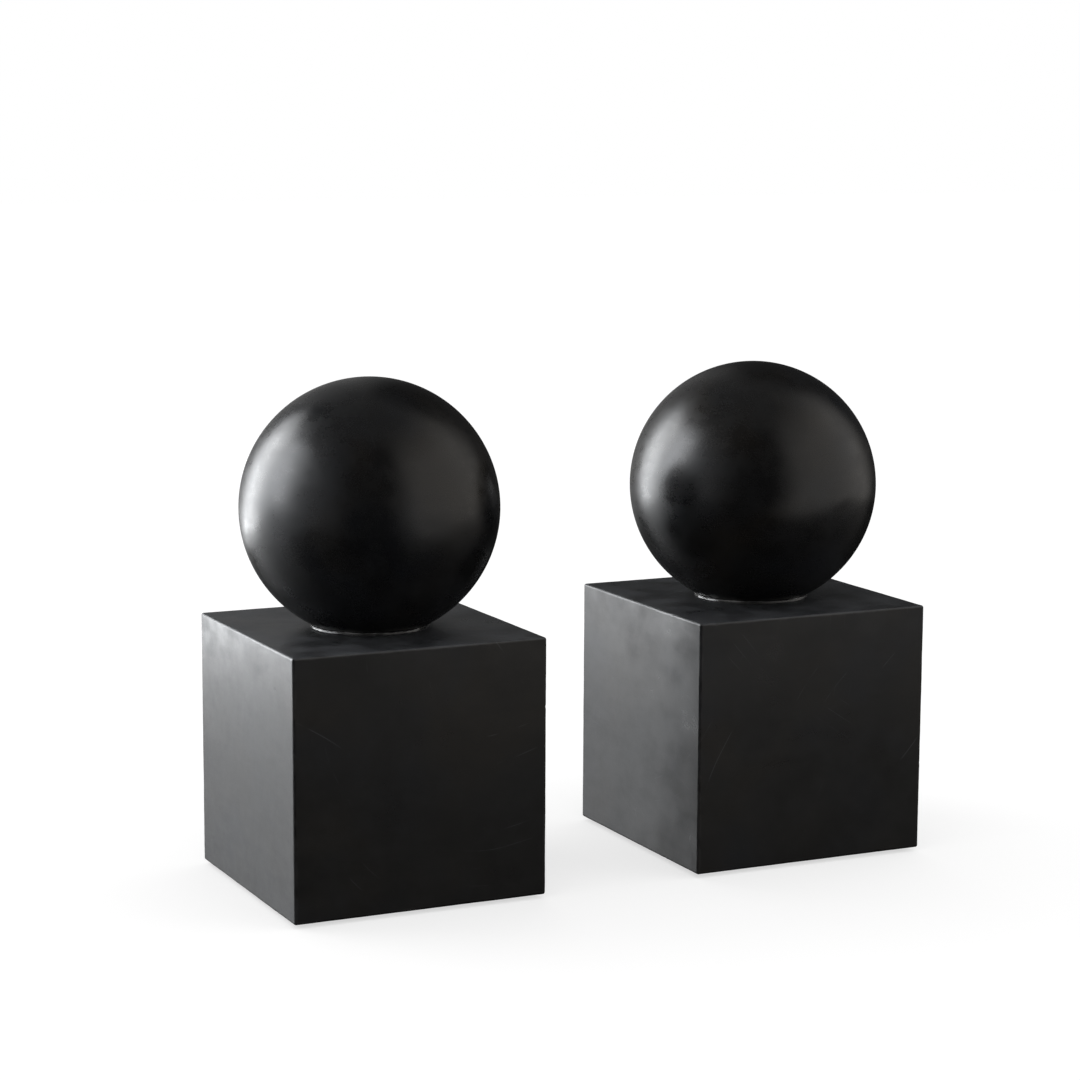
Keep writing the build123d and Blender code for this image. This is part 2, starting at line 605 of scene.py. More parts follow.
@dataclass(frozen=True)
class PressedFelt(Finish):
    """Black wool felt, pressed, with lighter fibres in it."""

    name: str = "pressed_felt"
    slot: str = "felt"
    dark: Colour = (0.012, 0.012, 0.013)
    light: Colour = (0.055, 0.055, 0.058)
    tangle_scale: float = 2600.0

    def wire(self, sheet: NodeSheet) -> bpy.types.Node:
        """Adds the finish's nodes: tangled fibres as bent noise, and a soft sheen."""
        place = sheet.object_place()
        clouds = Clouds.place(sheet, Place=place, Cloud_Scale=300.0, Grain_Scale=5000.0)
        tangle = sheet.noise(place, self.tangle_scale, detail=4.0, distortion=2.5)
        fibres = sheet.ramp(tangle, 0.45, 0.62)
        colour = sheet.blend(fibres, rgba(self.dark), rgba(self.light))
        roughness = sheet.ramp(clouds["Clouds"], 0.0, 1.0, 0.86, 0.98)
        height = sheet.math("ADD", fibres, sheet.math("MULTIPLY", clouds["Grain"], 0.5))
        normal = sheet.bump(height, 0.6, 0.15 * MM)
        return sheet.principled(colour, roughness, Sheen_Weight=0.3, Sheen_Roughness=0.5, Normal=normal)


@dataclass(frozen=True)
class AdhesiveFilm(Finish):
    """Amber film adhesive, with the weave of its carrier showing."""

    name: str = "adhesive_film"
    slot: str = "adhesive"
    amber: Colour = (0.46, 0.36, 0.20)
    pale: Colour = (0.60, 0.54, 0.42)
    weave_scale: float = 1600.0

    def wire(self, sheet: NodeSheet) -> bpy.types.Node:
        """Adds the finish's nodes: amber clouds over a fine open weave."""
        place = sheet.object_place()
        clouds = Clouds.place(sheet, Place=place, Cloud_Scale=240.0, Grain_Scale=3000.0)
        weave = sheet.add("ShaderNodeTexChecker", None, Vector=place, Scale=self.weave_scale)
        colour = sheet.blend(clouds["Clouds"], rgba(self.amber), rgba(self.pale))
        roughness = sheet.ramp(clouds["Drift"], 0.0, 1.0, 0.30, 0.48)
        height = sheet.math("ADD", weave.outputs["Fac"], clouds["Grain"])
        normal = sheet.bump(height, 0.3, 0.03 * MM)
        return sheet.principled(colour, roughness, Normal=normal)


# ---------------------------------------------------------------- mesh tools


@dataclass(frozen=True)
class Extent:
    """The box round a CAD node."""

    low: Vector
    high: Vector

    @property
    def radius(self) -> float:
        """Half its width."""
        return (self.high.x - self.low.x) / 2

    @property
    def height(self) -> float:
        """How tall it is."""
        return self.high.z - self.low.z

    def over_middle(self, height: float) -> Vector:
        """The point over its middle, at a height above the floor."""
        return Vector(((self.low.x + self.high.x) / 2, (self.low.y + self.high.y) / 2, height))


def finished_object(name: str, mesh: bpy.types.Mesh) -> Object:
    """Makes an object of a mesh, in place, and links it into the scene."""
    piece = bpy.data.objects.new(name, mesh)
    mesh.name = name
    bpy.context.scene.collection.objects.link(piece)
    return piece


def model_object(name: str, model: BMesh) -> Object:
    """Makes an object of a model, which is used up."""
    mesh = bpy.data.meshes.new(name)
    model.to_mesh(mesh)
    model.free()
    return finished_object(name, mesh)


def turn_outline(model: BMesh, outline: Outline, centre: Vector, steps: int,
                 wobble: Callable[[Vector], Vector] | None = None) -> list[BMVert]:
    """Turns an outline about the upright line through a centre, and adds its surface to a model.

    Args:
        model: the model to add to.
        outline: (radius, height) points from end to end. A point at radius 0 closes its end.
        centre: where the axis stands. Heights are measured from it.
        steps: how many points there are round a turn.
        wobble: gives how far each point moves, from where it is about the centre.

    Returns:
        The points of the last ring.
    """
    rings: list[list[BMVert]] = []
    for radius, height in outline:
        count = 1 if radius == 0 else steps
        ring = []
        for step in range(count):
            angle = math.tau * step / count
            point = Vector((radius * math.cos(angle), radius * math.sin(angle), height))
            if wobble:
                point += wobble(point)
            ring.append(model.verts.new(centre + point))
        rings.append(ring)
    for lower, upper in zip(rings, rings[1:]):
        for step in range(steps):
            following = (step + 1) % steps
            corners = [
                lower[step % len(lower)],
                lower[following % len(lower)],
                upper[following % len(upper)],
                upper[step % len(upper)],
            ]
            model.faces.new(list(dict.fromkeys(corners)))
    return rings[-1]


def lathe(name: str, outline: Outline, centre: Vector, steps: int,
          wobble: Callable[[Vector], Vector] | None = None) -> Object:
    """Makes a turned piece.

    Args:
        name: its name.
        outline: (radius, height) points from end to end, with both ends at radius 0.
        centre: where the axis stands. Heights are measured from it.
        steps: how many points there are round a turn.
        wobble: gives how far each point moves, from where it is about the centre.

    Returns:
        The turned piece, closed, shaded smooth and with its faces outward.
    """
    model = bmesh.new()
    turn_outline(model, outline, centre, steps, wobble)
    bmesh.ops.recalc_face_normals(model, faces=model.faces)
    for face in model.faces:
        face.smooth = True
    return model_object(name, model)


def shade_smooth(piece: Object) -> None:
    """Shades every face of a piece smooth."""
    for face in piece.data.polygons:
        face.use_smooth = True


def sharpen(piece: Object, degrees: float = 35.0) -> None:
    """Keeps a smooth piece's edges crisp where its faces meet at more than an angle in degrees."""
    model = bmesh.new()
    model.from_mesh(piece.data)
    for edge in model.edges:
        edge.smooth = edge.calc_face_angle(0.0) < math.radians(degrees)
    model.to_mesh(piece.data)
    model.free()


# ---------------------------------------------------------------- geometry node tools


class Recipe(ABC):
    """A Geometry Nodes tree with named inputs, built once."""

    name: str
    inputs: dict[str, str]

    @classmethod
    @lru_cache(maxsize=None)
    def tree(cls) -> bpy.types.NodeTree:
        """The tree, built the first time it is asked for."""
        tree = bpy.data.node_groups.new(cls.name, "GeometryNodeTree")
        tree.is_modifier = True
        tree.interface.new_socket("Geometry", in_out="INPUT", socket_type="NodeSocketGeometry")
        for label, kind in cls.inputs.items():
            tree.interface.new_socket(label, in_out="INPUT", socket_type=kind)
        tree.interface.new_socket("Geometry", in_out="OUTPUT", socket_type="NodeSocketGeometry")
        sheet = NodeSheet(tree)
        given = sheet.add("NodeGroupInput")
        made = cls.wire(sheet, given.outputs)
        real = sheet.add("GeometryNodeRealizeInstances", None, i0=made)
        coated = sheet.add("GeometryNodeSetMaterial", None, Geometry=real.outputs[0],
                           Material=given.outputs["Material"])
        sheet.add("NodeGroupOutput", None, i0=coated.outputs[0])
        return tree

    @classmethod
    @abstractmethod
    def wire(cls, sheet: NodeSheet, given: object) -> NodeSocket:
        """Adds the tree's nodes.

        Args:
            sheet: the tree's own sheet.
            given: the tree's input sockets, by name.

        Returns:
            The socket of the geometry that it makes.
        """

    @classmethod
    def bake(cls, name: str, start: bpy.types.Mesh | None = None, **inputs: object) -> Object:
        """Runs the tree and keeps its result as a plain mesh.

        Args:
            name: the piece's name.
            start: the mesh that the tree starts from, if it needs one.
            **inputs: the tree's inputs, by name with "_" for a space.

        Returns:
            The piece, with no modifier.
        """
        source = finished_object(name + "_source", start or bpy.data.meshes.new(name))
        modifier = source.modifiers.new(cls.name, "NODES")
        tree = cls.tree()
        modifier.node_group = tree
        for item in tree.interface.items_tree:
            key = item.name.replace(" ", "_")
            if item.in_out == "INPUT" and key in inputs:
                modifier[item.identifier] = inputs[key]
        graph = bpy.context.evaluated_depsgraph_get()
        mesh = bpy.data.meshes.new_from_object(source.evaluated_get(graph), depsgraph=graph)
        source.modifiers.clear()
        bpy.data.objects.remove(source)
        return finished_object(name, mesh)


class ScrewThread(Recipe):
    """A rod with a helical thread: a plain cylinder, drawn in where the thread's groove runs."""

    name = "screw_thread"
    inputs = {
        "Foot": "NodeSocketVector",
        "Length": "NodeSocketFloat",
        "Crest Radius": "NodeSocketFloat",
        "Thread Depth": "NodeSocketFloat",
        "Pitch": "NodeSocketFloat",
        "Rings": "NodeSocketInt",
        "Material": "NodeSocketMaterial",
    }

    # Points round the rod, and where a flank starts and ends: from 0 on the crest to 0.5 on the root.
    STEPS = 40
    FLANK = (0.10, 0.42)

    @classmethod
    def wire(cls, sheet: NodeSheet, given: object) -> NodeSocket:
        """Adds the tree's nodes: a point's radius comes from how far round and along the thread it is."""
        rod = sheet.add("GeometryNodeMeshCylinder", {"fill_type": "TRIANGLE_FAN"}, Vertices=cls.STEPS,
                        Side_Segments=given["Rings"], Radius=given["Crest Radius"], Depth=given["Length"])
        position = sheet.add("GeometryNodeInputPosition").outputs[0]
        x, y, z = sheet.parts(position)
        turn = sheet.math("DIVIDE", sheet.math("ARCTAN2", y, x), math.tau)
        along = sheet.math("DIVIDE", z, given["Pitch"])
        phase = sheet.math("PINGPONG", sheet.math("SUBTRACT", along, turn), 0.5)
        groove = sheet.ramp(phase, *cls.FLANK, smooth=False)
        half = sheet.math("MULTIPLY", given["Length"], 0.5)
        from_end = sheet.math("SUBTRACT", half, sheet.math("ABSOLUTE", z))
        inwards = sheet.math("DIVIDE", from_end, given["Thread Depth"])
        chamfer = sheet.math("SUBTRACT", 1.0, inwards, clamp=True)
        depth = sheet.math("MULTIPLY", sheet.math("MAXIMUM", groove, chamfer), given["Thread Depth"])
        wanted = sheet.math("SUBTRACT", given["Crest Radius"], depth)
        share = sheet.math("DIVIDE", wanted, given["Crest Radius"])
        drawn = sheet.joined(X=sheet.math("MULTIPLY", x, share), Y=sheet.math("MULTIPLY", y, share), Z=z)
        base = sheet.vector("ADD", given["Foot"], sheet.joined(Z=half))
        placed = sheet.vector("ADD", drawn, base)
        moved = sheet.add("GeometryNodeSetPosition", None, Geometry=rod.outputs["Mesh"], Position=placed)
        return moved.outputs[0]


class ResinBead(Recipe):
    """The bead of resin squeezed out round the ball's seat: a ring that swells, thins and wanders."""

    name = "resin_bead"
    inputs = {
        "Centre": "NodeSocketVector",
        "Ring Radius": "NodeSocketFloat",
        "Bead Radius": "NodeSocketFloat",
        "Wander": "NodeSocketFloat",
        "Seed": "NodeSocketFloat",
        "Material": "NodeSocketMaterial",
    }

    PATH_STEPS = 240
    SECTION_STEPS = 12
    # Features to the metre, and the least and greatest share of the bead's radius.
    DRIFT_SCALE = 130.0
    SWELL_SCALE = 210.0
    THICKNESS = (0.30, 1.15)

    @classmethod
    def wire(cls, sheet: NodeSheet, given: object) -> NodeSocket:
        """Adds the tree's nodes: a round path, moved and thickened by noise, with a round section."""
        path = sheet.add("GeometryNodeCurvePrimitiveCircle", {"mode": "RADIUS"},
                         Resolution=cls.PATH_STEPS, Radius=given["Ring Radius"])
        position = sheet.add("GeometryNodeInputPosition").outputs[0]
        drift = sheet.add("ShaderNodeTexNoise", {"noise_dimensions": "4D"}, Vector=position,
                          W=given["Seed"], Scale=cls.DRIFT_SCALE, Detail=3.0)
        centred = sheet.vector("SUBTRACT", drift.outputs["Color"], (0.5, 0.5, 0.5))
        offset = sheet.vector("ADD", sheet.scaled(centred, given["Wander"]), given["Centre"])
        moved = sheet.add("GeometryNodeSetPosition", None, Geometry=path.outputs[0], Offset=offset)
        swell = sheet.add("ShaderNodeTexNoise", {"noise_dimensions": "4D"}, Vector=position,
                          W=sheet.math("ADD", given["Seed"], 5.0), Scale=cls.SWELL_SCALE, Detail=2.0)
        thickness = sheet.ramp(swell.outputs["Fac"], 0.34, 0.66, *cls.THICKNESS)
        section = sheet.add("GeometryNodeCurvePrimitiveCircle", {"mode": "RADIUS"},
                            Resolution=cls.SECTION_STEPS, Radius=given["Bead Radius"])
        sized = sheet.add("GeometryNodeCurveToMesh", None, Curve=moved.outputs[0],
                          Profile_Curve=section.outputs[0], Scale=thickness)
        return sized.outputs[0]


class FeltFuzz(Recipe):
    """Loose wool fibres on a felt disc: short bent hairs, kept above what the disc stands on."""

    name = "felt_fuzz"
    inputs = {
        "Fibre Length": "NodeSocketFloat",
        "Fibre Radius": "NodeSocketFloat",
        "Fibres per Area": "NodeSocketFloat",
        "Floor Height": "NodeSocketFloat",
        "Seed": "NodeSocketInt",
        "Material": "NodeSocketMaterial",
    }

    # The most that a fibre is turned, in radians, and the shortest one's share of the length.
    MOST_TILT = (0.9, 0.9, 3.1)
    LEAST_LENGTH = 0.45

    @classmethod
    def wire(cls, sheet: NodeSheet, given: object) -> NodeSocket:
        """Adds the tree's nodes: hairs scattered over the disc, tilted at random, joined to the disc."""
        disc = given["Geometry"]
        scatter = sheet.add("GeometryNodeDistributePointsOnFaces", {"distribute_method": "RANDOM"},
                            Mesh=disc, Density=given["Fibres per Area"], Seed=given["Seed"])
        bow = sheet.add("GeometryNodeCurveQuadraticBezier", None, Resolution=4, Start=(0.0, 0.0, 0.0),
                        Middle=(0.35, 0.1, 0.5), End=(0.2, -0.25, 1.0))
        sized = sheet.add("GeometryNodeTransform", None, Geometry=bow.outputs[0],
                          Scale=given["Fibre Length"])
        section = sheet.add("GeometryNodeCurvePrimitiveCircle", {"mode": "RADIUS"}, Resolution=3,
                            Radius=given["Fibre Radius"])
        hair = sheet.add("GeometryNodeCurveToMesh", None, Curve=sized.outputs[0],
                         Profile_Curve=section.outputs[0], Fill_Caps=True)
        tilt = sheet.add("FunctionNodeRandomValue", {"data_type": "FLOAT_VECTOR"},
                         i0=tuple(-angle for angle in cls.MOST_TILT), i1=cls.MOST_TILT, Seed=given["Seed"])
        turned = sheet.add("FunctionNodeRotateEuler", {"space": "LOCAL"},
                           Rotation=scatter.outputs["Rotation"], Rotate_By=tilt.outputs[0])
        size = sheet.add("FunctionNodeRandomValue", {"data_type": "FLOAT"}, i2=cls.LEAST_LENGTH, i3=1.0,
                         Seed=given["Seed"])
        placed = sheet.add("GeometryNodeInstanceOnPoints", None, Points=scatter.outputs["Points"],
                           Instance=hair.outputs[0], Rotation=turned.outputs[0], Scale=size.outputs[1])
        loose = sheet.add("GeometryNodeRealizeInstances", None, i0=placed.outputs[0])
        both = sheet.add("GeometryNodeJoinGeometry", None, i0=loose.outputs[0])
        sheet.tree.links.new(disc, both.inputs[0])
        position = sheet.add("GeometryNodeInputPosition").outputs[0]
        x, y, z = sheet.parts(position)
        height = sheet.math("MAXIMUM", z, given["Floor Height"])
        kept = sheet.add("GeometryNodeSetPosition", None, Geometry=both.outputs[0],
                         Position=sheet.joined(X=x, Y=y, Z=height))
        return kept.outputs[0]


# ---------------------------------------------------------------- sub-assemblies


# A piece, the CAD node that it stands for or None, and its finish.
Dressed = tuple[Object, str | None, Finish]


@dataclass
class SubAssembly(ABC):
    """A piece or a few like pieces of one book end."""

    side: Side

    # How far off the noise is read for each step of the book end's seed, in metres.
    NOISE_STEP = 1.0

    def make(self) -> None:
        """Builds, dresses and mounts the pieces, and logs each one."""
        for piece, node, finish in self.build():
            self.dress(piece, finish)
            if node:
                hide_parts(self.side.node(node))
            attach(piece, self.side.body)
            LOG.info("%s: %d faces, %s", piece.name, len(piece.data.polygons), finish.name)

    @abstractmethod
    def build(self) -> list[Dressed]:
        """Builds the pieces."""

    def dress(self, piece: Object, finish: Finish) -> None:
        """Gives a piece its finish."""
        piece.data.materials.clear()
        piece.data.materials.append(finish.material())

    def box(self, node: str) -> Extent:
        """The box round one of this book end's CAD nodes."""
        return Extent(*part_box(self.side.node(node)))

    def shift(self) -> Vector:
        """How far off this book end's noise is read, so that the two differ."""
        return Vector((self.side.seed * self.NOISE_STEP, 0.0, 0.0))


@dataclass(frozen=True)
class Socket:
    """A drilled socket on an upright axis: a round wall and a drill point."""

    radius: float
    mouth: float
    tip: float

    POINT_ANGLE = math.radians(118.0)

    def outline(self) -> Outline:
        """(radius, height) points from the drill point to the mouth."""
        point = self.radius / math.tan(self.POINT_ANGLE / 2)
        shoulder = self.tip - math.copysign(point, self.tip - self.mouth)
        return [(0.0, self.tip), (self.radius, shoulder), (self.radius, self.mouth)]


@dataclass
class Block(SubAssembly):
    """The square block: flat honed faces, arrises eased by hand, and a socket in its top."""

    ease: float = 0.8 * MM
    ease_steps: int = 5
    ease_spread: float = 0.22
    nick_depth: float = 0.22 * MM
    cuts: int = 200
    socket_steps: int = 48

    # A face is one of the six flat ones if its normal is this near to an axis.
    FLAT = 0.99999
    # Features to the metre of the arrises' unevenness, and the noise above which they are nicked.
    BROAD_SCALE = 90.0
    FINE_SCALE = 420.0
    NICK_SCALE = 260.0
    NICK_START = 0.52
    NICK_GAIN = 4.0
    NOISE_STEP = 7.3

    def build(self) -> list[Dressed]:
        """Builds the block from an eased cube whose arrises are then worn."""
        box = self.box("block")
        centre = (box.low + box.high) / 2
        half = (box.high - box.low) / 2
        model = bmesh.new()
        bmesh.ops.create_cube(model, size=2.0, matrix=Matrix.Diagonal((*half, 1.0)))
        bmesh.ops.bevel(model, geom=model.edges[:], offset=self.ease, segments=self.ease_steps, profile=0.5,
                        affect="EDGES")
        lengthwise = [edge for edge in model.edges if edge.calc_length() > half.x]
        bmesh.ops.subdivide_edges(model, edges=lengthwise, cuts=self.cuts, use_grid_fill=False)
        self.wear_arrises(model, half)
        self.sink_socket(model, half)
        bmesh.ops.translate(model, verts=model.verts, vec=centre)
        bmesh.ops.recalc_face_normals(model, faces=model.faces)
        for face in model.faces:
            face.smooth = max(abs(part) for part in face.normal) < self.FLAT
        piece = model_object(self.side.node("honed_block"), model)
        # The top faces are paled strongly: partly dust, partly painted sheen.
        stone = HonedStone(self.side.node("block_stone"), centre, half, self.side.veining_turn,
                           scratching=0.26, wear=0.14, top_dust_and_sheen=0.50)
        return [(piece, "block", stone)]

    def wear_arrises(self, model: BMesh, half: Vector) -> None:
        """Makes the easing uneven along each arris, with small nicks here and there.

        Args:
            model: the block, centred on the origin.
            half: half its size.
        """
        shift = self.shift()
        for vertex in model.verts:
            point = vertex.co.copy()
            depths = [half[axis] - abs(point[axis]) for axis in range(3)]
            along = max(range(3), key=lambda axis: depths[axis])
            if depths[along] < 3 * self.ease:
                continue
            broad = noise.noise((point + shift) * self.BROAD_SCALE)
            unevenness = broad + 0.5 * noise.noise((point + shift) * self.FINE_SCALE)
            excess = noise.noise((point - shift) * self.NICK_SCALE) - self.NICK_START
            nick = self.nick_depth * max(0.0, excess) * self.NICK_GAIN
            for axis in range(3):
                if axis == along:
                    continue
                beside = max(0.0, self.ease - depths[3 - along - axis])
                drop = depths[axis] * self.ease_spread * unevenness + nick * beside / self.ease
                vertex.co[axis] = math.copysign(abs(point[axis]) - max(drop, -depths[axis]), point[axis])

    def sink_socket(self, model: BMesh, half: Vector) -> None:
        """Opens the top face and joins a drilled socket to it.

        Args:
            model: the block, centred on the origin.
            half: half its size.
        """
        block = self.box("block")
        tip = self.box("seat_resin").low.z - (block.low.z + block.high.z) / 2
        socket = Socket(self.box("ball_resin").radius, half.z, tip)
        top = max(model.faces, key=lambda face: (len(face.verts) > 4) * face.calc_center_median().z)
        rim = list(top.edges)
        bmesh.ops.delete(model, geom=[top], context="FACES_ONLY")
        ring = turn_outline(model, socket.outline(), Vector(), self.socket_steps)
        mouth = [model.edges.get((first, second)) for first, second in zip(ring, ring[1:] + ring[:1])]
        bmesh.ops.bridge_loops(model, edges=rim + mouth)


@dataclass
class Ball(SubAssembly):
    """The ball, turned and rubbed by hand, with a flat on its foot and a socket drilled up from it."""

    steps: int = 200
    arc_steps: int = 120
    seat_ease: float = 0.25 * MM
    unevenness: float = 0.10 * MM
    seat_fade: float = 10 * MM

    RUBBING_SCALE = 28.0
    NOISE_STEP = 3.1

    def build(self) -> list[Dressed]:
        """Builds the ball as a turned outline with a slight hand-made unevenness."""
        box = self.box("ball")
        radius = box.radius
        centre = box.over_middle(box.high.z - radius)
        seat_height = box.low.z - centre.z
        resin = self.box("ball_resin")
        socket = Socket(resin.radius, seat_height, resin.high.z - centre.z)
        seat_radius = math.sqrt(radius**2 - seat_height**2)

        outline = socket.outline()
        outline.append((seat_radius - self.seat_ease, seat_height))
        start = math.atan2(seat_height, seat_radius)
        for step in range(self.arc_steps + 1):
            angle = start + (math.pi / 2 - start) * step / self.arc_steps
            outline.append((radius * math.cos(angle), radius * math.sin(angle)))
        outline[-1] = (0.0, radius)
        shift = self.shift()

        def rubbed(point: Vector) -> Vector:
            """How far a point on the ball is rubbed in: nothing at the seat and in the socket."""
            above_seat = min(1.0, max(0.0, (point.z - seat_height) / self.seat_fade))
            depth = 0.5 + 0.5 * noise.noise((point + shift) * self.RUBBING_SCALE)
            return point.normalized() * (-self.unevenness * depth * above_seat)

        piece = lathe(self.side.node("turned_ball"), outline, centre, self.steps, rubbed)
        sharpen(piece)
        stone = HonedStone(self.side.node("ball_stone"), centre, Vector((radius,) * 3),
                           self.side.veining_turn, smooth=0.26, rough=0.34, scratching=0.06,
                           waviness=0.05 * MM)
        return [(piece, "ball", stone)]


@dataclass
class Seat(SubAssembly):
    """What holds the ball on the block: the threaded rod, its resin and the bead round the seat."""

    pitch: float = 1.25 * MM
    rings_per_pitch: int = 8
    steps: int = 240
    rim_steps: int = 6
    rim_hollow: float = 0.25 * MM
    rim_wander: float = 0.5 * MM
    bead_radius: float = 0.19 * MM
    bead_drop: float = 0.15 * MM
    bead_wander: float = 0.8 * MM
    # How much pale colour the bead has: partly stone dust, partly a painted highlight for the glint that
    # runs round the seat.
    bead_dust: float = 0.62

    WANDER_SCALE = 150.0
    NOISE_STEP = 5.7

    def build(self) -> list[Dressed]:
        """Builds the rod, the poured resin and the bead, and dresses the resin inside the ball."""
        resin = CastResin()
        # The bead's pale colour is partly dust, partly a painted highlight.
        dusty_glint = CastResin("dusty_resin", dust_and_glint=self.bead_dust)
        self.dress(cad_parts[self.side.node("ball_resin")], resin)
        return [
            (self.build_rod(), "threaded_rod", ZincedSteel()),
            (self.pour_resin(), "seat_resin", resin),
            (self.squeeze_bead(dusty_glint), None, dusty_glint),
        ]

    def build_rod(self) -> Object:
        """Builds the rod with its thread."""
        box = self.box("threaded_rod")
        rod = ScrewThread.bake(
            self.side.node("cut_rod"),
            Foot=box.over_middle(box.low.z),
            Length=box.height,
            Crest_Radius=box.radius,
            Thread_Depth=5 / 8 * self.pitch * math.sin(math.radians(60)),
            Pitch=self.pitch,
            Rings=round(box.height / self.pitch * self.rings_per_pitch),
            Material=ZincedSteel().material(),
        )
        shade_smooth(rod)
        sharpen(rod, 50.0)
        return rod

    def pour_resin(self) -> Object:
        """Builds the resin that fills the block's socket and the gap below the ball, round the rod."""
        ball = self.box("ball")
        rod = self.box("threaded_rod")
        poured = self.box("seat_resin")
        top = self.box("block").high.z
        ball_height = ball.high.z - ball.radius - top
        seat_height = ball.low.z - top
        seat_radius = math.sqrt(ball.radius**2 - (ball_height - seat_height) ** 2)
        rim_radius = poured.radius
        rim_height = ball_height - math.sqrt(ball.radius**2 - rim_radius**2)

        outline = Socket(self.box("ball_resin").radius, 0.0, poured.low.z - top).outline()
        for step in range(self.rim_steps + 1):
            share = step / self.rim_steps
            hollow = self.rim_hollow * math.sin(math.pi * share)
            outline.append((rim_radius - hollow, rim_height * share))
        outline += [
            (seat_radius, seat_height),
            (rod.radius, seat_height),
            (rod.radius, rod.low.z - top),
            (0.0, rod.low.z - top),
        ]
        shift = self.shift()

        def uneven(point: Vector) -> Vector:
            """How far a point on the rim wanders outwards or inwards. The rest stays in place."""
            across = Vector((point.x, point.y, 0.0))
            beyond = (across.length - seat_radius) / (rim_radius - seat_radius)
            amount = noise.noise((across + shift) * self.WANDER_SCALE) * self.rim_wander
            return across.normalized() * (amount * max(0.0, min(1.0, beyond)))

        resin = lathe(self.side.node("poured_resin"), outline, ball.over_middle(top), self.steps, uneven)
        sharpen(resin)
        return resin

    def squeeze_bead(self, finish: Finish) -> Object:
        """Builds the bead that was squeezed out round the seat, in the finish given."""
        box = self.box("seat_resin")
        bead = ResinBead.bake(
            self.side.node("resin_bead"),
            Centre=box.over_middle(box.high.z - self.bead_drop),
            Ring_Radius=box.radius,
            Bead_Radius=self.bead_radius,
            Wander=self.bead_wander,
            Seed=float(self.side.seed),
            Material=finish.material(),
        )
        shade_smooth(bead)
        return bead


@dataclass
class Feet(SubAssembly):
    """The four felt feet and the adhesive that holds them."""

    steps: int = 64
    rounding: float = 0.35 * MM
    rounding_steps: int = 4
    fibre_length: float = 0.75 * MM
    fibre_radius: float = 0.018 * MM
    fibres_per_area: float = 1.1e6

    def build(self) -> list[Dressed]:
        """Builds each foot as a soft-edged disc with loose fibres on it."""
        self.dress(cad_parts[self.side.node("pad_adhesive")], AdhesiveFilm())
        return [self.build_foot(foot) for foot in Foot]

    def build_foot(self, foot: Foot) -> Dressed:
        """Builds one foot."""
        felt = PressedFelt()
        node = f"{foot.value}_pad"
        box = self.box(node)
        radius = box.radius
        outline: Outline = [(0.0, 0.0), (radius / 2, 0.0)]
        for step in range(self.rounding_steps + 1):
            angle = math.pi / 2 * step / self.rounding_steps
            drawn_in = self.rounding * (1 - math.sin(angle))
            outline.append((radius - drawn_in, self.rounding * (1 - math.cos(angle))))
        outline += [(radius, box.height), (radius / 2, box.height), (0.0, box.height)]
        disc = lathe(node + "_disc", outline, box.over_middle(box.low.z), self.steps)
        mesh = disc.data.copy()
        bpy.data.objects.remove(disc)
        piece = FeltFuzz.bake(
            self.side.node(f"{foot.value}_felt_foot"),
            mesh,
            Fibre_Length=self.fibre_length,
            Fibre_Radius=self.fibre_radius,
            Fibres_per_Area=self.fibres_per_area,
            Floor_Height=box.low.z,
            Seed=self.side.seed * 10 + list(Foot).index(foot),
            Material=felt.material(),
        )
        return piece, node, felt


# ---------------------------------------------------------------- studio


@dataclass(frozen=True)
class Softbox:
    """A soft lamp that faces the book ends. Gloss shows the tent instead of it."""

    name: str
    bearing: float
    low: float
    high: float
    width: float
    glow: float
    distance: float = 1.5

    def hang(self) -> None:
        """Hangs the lamp. Its bearing is in degrees from +Y towards +X."""
        height = self.high - self.low
        lamp = bpy.data.lights.new(self.name, "AREA")
        lamp.shape = "RECTANGLE"
        lamp.size = self.width
        lamp.size_y = height
        lamp.energy = self.glow * math.pi * self.width * height
        holder = bpy.data.objects.new(self.name, lamp)
        angle = math.radians(self.bearing)
        place = Vector((math.sin(angle), math.cos(angle), 0.0)) * self.distance
        place.z = (self.low + self.high) / 2
        holder.location = place
        facing = Vector((-place.x, -place.y, 0.0))
        holder.rotation_euler = facing.to_track_quat("-Z", "Y").to_euler()
        holder.visible_camera = False
        holder.visible_glossy = False
        bpy.context.scene.collection.objects.link(holder)


@dataclass(frozen=True)
class Glow:
    """A soft-edged patch of light on the tent, in degrees: bearings from +Y towards +X, heights up."""

    bearing: float
    half_width: float
    edge: float
    top: float
    top_edge: float
    strength: float
    colour: Colour = (1.0, 1.0, 1.0)
    bottom: float = -90.0
    bottom_edge: float = 6.0

    def wire(self, sheet: NodeSheet, bearing: object, elevation: object) -> NodeSocket:
        """Adds the patch's nodes.

        Args:
            sheet: the sheet of the tent's material.
            bearing: the socket of a point's bearing.
            elevation: the socket of a point's height.

        Returns:
            The socket of the patch's colour times its strength.
        """
        offset = sheet.math("WRAP", sheet.math("SUBTRACT", bearing, self.bearing), 180.0, -180.0)
        across = sheet.ramp(sheet.math("ABSOLUTE", offset), self.half_width - self.edge,
                            self.half_width + self.edge, 1.0, 0.0)
        up = sheet.ramp(elevation, self.top - self.top_edge, self.top + self.top_edge, 1.0, 0.0)
        down = sheet.ramp(elevation, self.bottom - self.bottom_edge, self.bottom + self.bottom_edge)
        patch = sheet.math("MULTIPLY", across, sheet.math("MULTIPLY", up, down))
        return sheet.scaled(self.colour, sheet.math("MULTIPLY", patch, self.strength))


